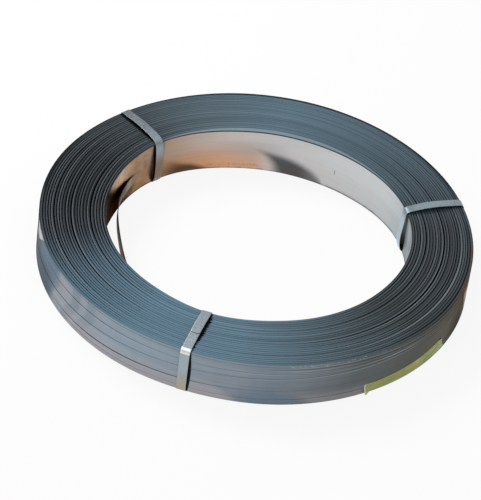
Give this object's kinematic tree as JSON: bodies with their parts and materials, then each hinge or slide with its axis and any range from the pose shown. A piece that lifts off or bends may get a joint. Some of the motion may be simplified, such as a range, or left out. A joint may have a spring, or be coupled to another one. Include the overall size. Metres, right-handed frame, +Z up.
{
  "type": "steel strapping coil",
  "caption": "Flat-lying wound coil of steel strapping with an open bore, thin tie straps looped round its section, a loose inner end and a strip of masking tape.",
  "frame": {"origin": "on the coil's axis, on the level floor that the tie straps' undersides rest on", "axes": "+Z up along the coil's axis; -Y to the front, where the front tie strap and the tape are; +X to the right"},
  "size_m": [0.578, 0.578, 0.0714],
  "materials": {
    "strapping_steel": "satin",
    "tie_steel": "satin",
    "masking_tape": "matte"
  },
  "bodies": {
    "root": {"strapping_coil": "strapping_steel", "tie_strap_right": "tie_steel", "tie_strap_back_left": "tie_steel", "tie_strap_front": "tie_steel", "tape_strip": "masking_tape"}
  },
  "joints": []
}
